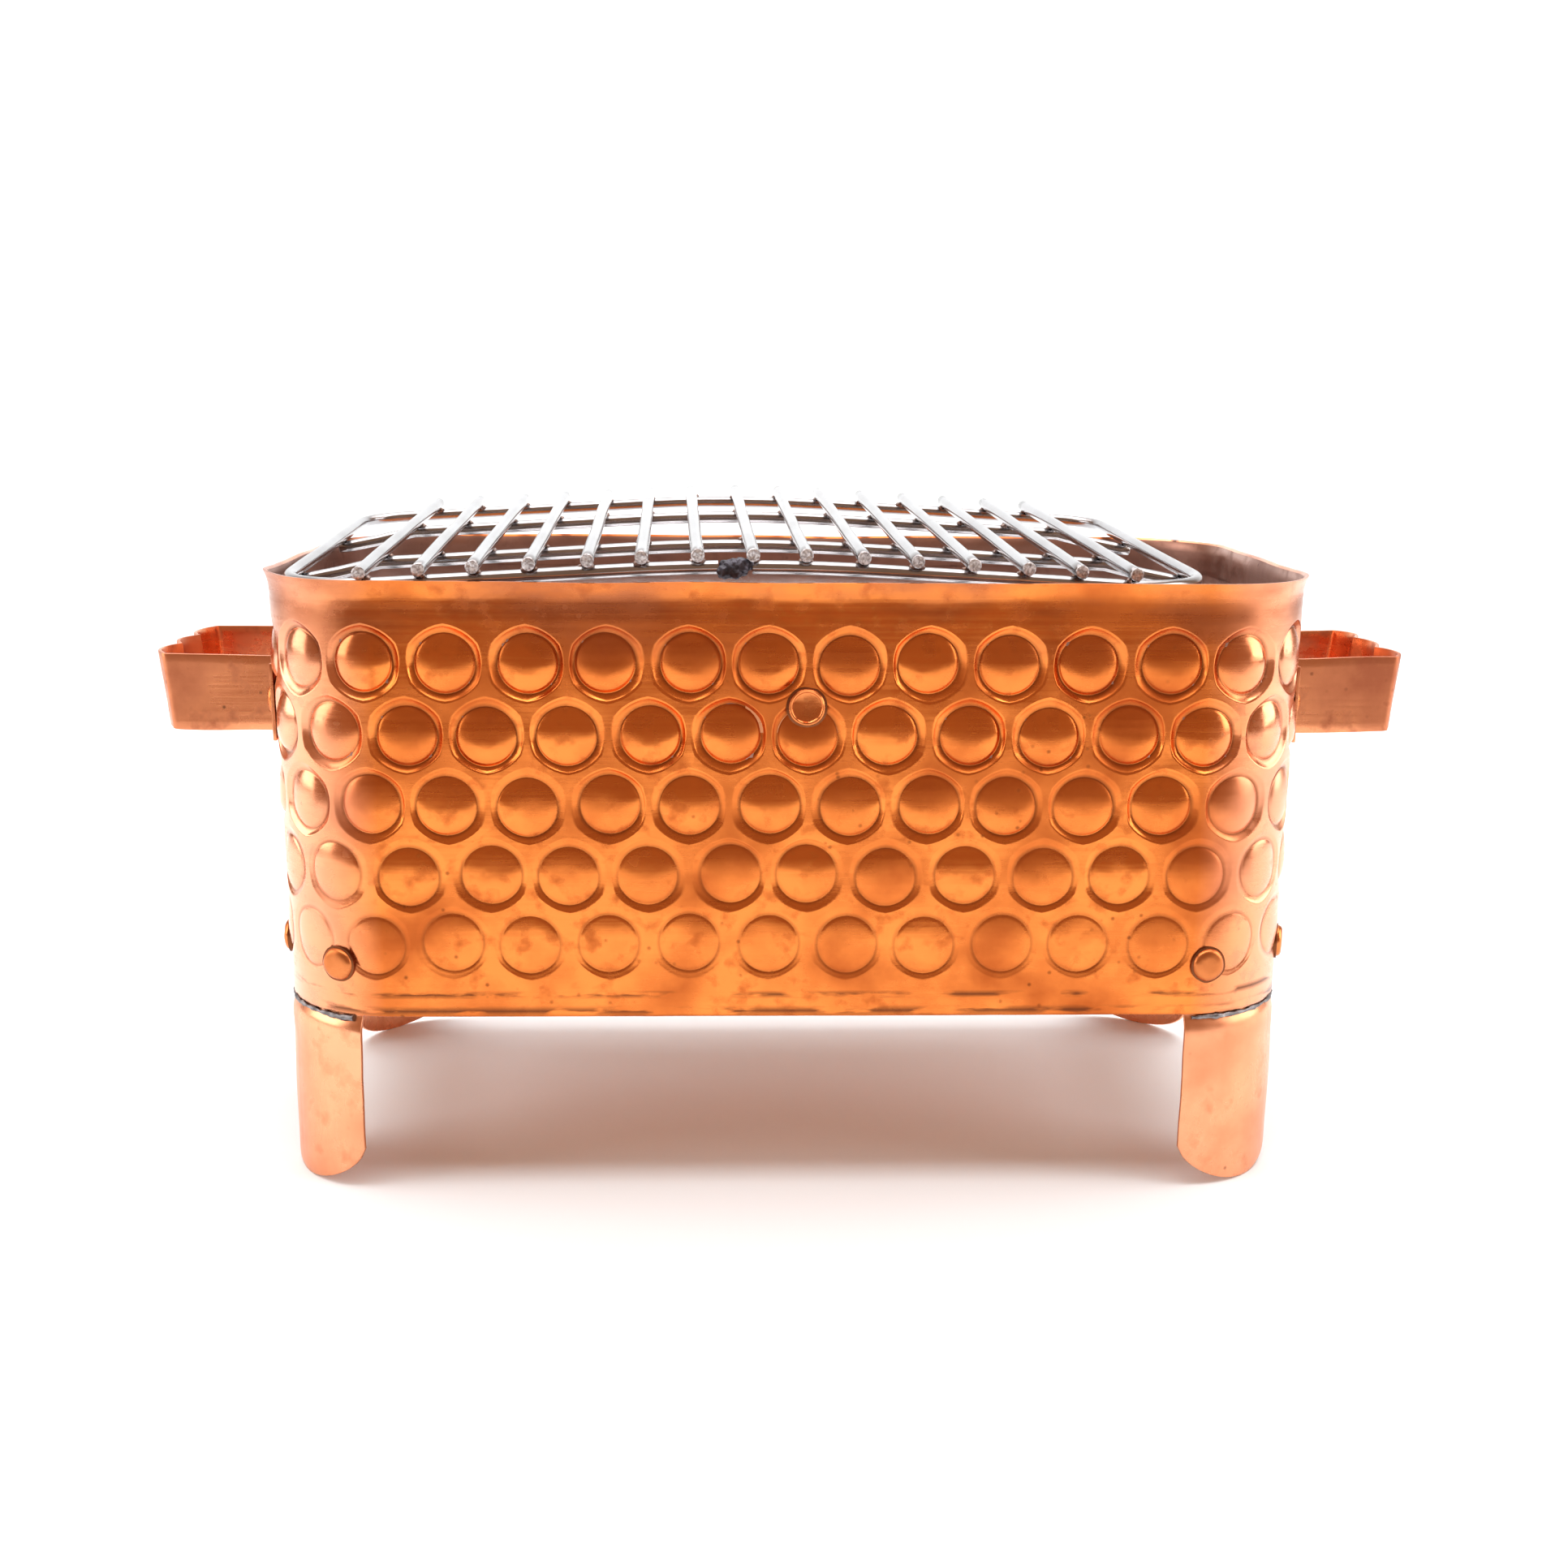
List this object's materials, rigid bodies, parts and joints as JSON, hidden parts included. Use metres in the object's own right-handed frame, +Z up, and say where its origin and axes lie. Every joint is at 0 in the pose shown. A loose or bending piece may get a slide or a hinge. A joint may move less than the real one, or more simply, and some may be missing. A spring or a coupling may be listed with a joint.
{
  "type": "fire pit with grate",
  "caption": "Table-top fire pit: hammered copper body on curved legs with strip handles, a lift-out fire pan and a lift-off wire grate with an arched top.",
  "frame": {"origin": "on the table, under the middle of the copper body", "axes": "+X to the right along the long side, +Y to the back, +Z up"},
  "size_m": [0.3982, 0.1956, 0.2054],
  "materials": {
    "hammered_copper": "hammered copper, worn polish",
    "floor_copper": "dull copper",
    "leg_copper": "polished copper",
    "handle_copper": "polished copper",
    "rivet_copper": "copper",
    "bracket_copper": "dull copper",
    "solder_tin": "dull tin solder",
    "pan_steel": "bright sheet steel",
    "grate_steel": "drawn steel rod",
    "weld_steel": "rough weld"
  },
  "bodies": {
    "body": {"body_wall": "hammered_copper", "body_floor": "floor_copper", "leg_front_left": "leg_copper", "leg_front_right": "leg_copper", "leg_back_left": "leg_copper", "leg_back_right": "leg_copper", "leg_rivets_front_left": "rivet_copper", "leg_rivets_front_right": "rivet_copper", "leg_rivets_back_left": "rivet_copper", "leg_rivets_back_right": "rivet_copper", "solder_front_left": "solder_tin", "solder_front_right": "solder_tin", "solder_back_left": "solder_tin", "solder_back_right": "solder_tin", "handle_left": "handle_copper", "handle_right": "handle_copper", "handle_rivets_left": "rivet_copper", "handle_rivets_right": "rivet_copper", "bracket_front": "bracket_copper", "bracket_back": "bracket_copper", "bracket_left": "bracket_copper", "bracket_right": "bracket_copper", "bracket_rivet_front": "rivet_copper", "bracket_rivet_back": "rivet_copper", "bracket_rivet_left": "rivet_copper", "bracket_rivet_right": "rivet_copper"},
    "fire_pan": {"fire_pan": "pan_steel", "pan_lug_left": "pan_steel", "pan_lug_right": "pan_steel"},
    "grate": {"grate_frame": "grate_steel", "frame_weld": "weld_steel", "cross_rod_front": "grate_steel", "cross_rod_back": "grate_steel", "grate_bar_01": "grate_steel", "grate_bar_02": "grate_steel", "grate_bar_03": "grate_steel", "grate_bar_04": "grate_steel", "grate_bar_05": "grate_steel", "grate_bar_06": "grate_steel", "grate_bar_07": "grate_steel", "grate_bar_08": "grate_steel", "grate_bar_09": "grate_steel", "grate_bar_10": "grate_steel", "grate_bar_11": "grate_steel", "grate_bar_12": "grate_steel", "grate_bar_13": "grate_steel", "grate_bar_14": "grate_steel", "grate_bar_15": "grate_steel"}
  },
  "joints": [
    {"name": "pan_lift", "type": "slide", "parent": "body", "child": "fire_pan", "axis": [0, 0, 1], "range_m": [0, 0.06]},
    {"name": "grate_lift", "type": "slide", "parent": "fire_pan", "child": "grate", "axis": [0, 0, 1], "range_m": [0, 0.06]}
  ]
}
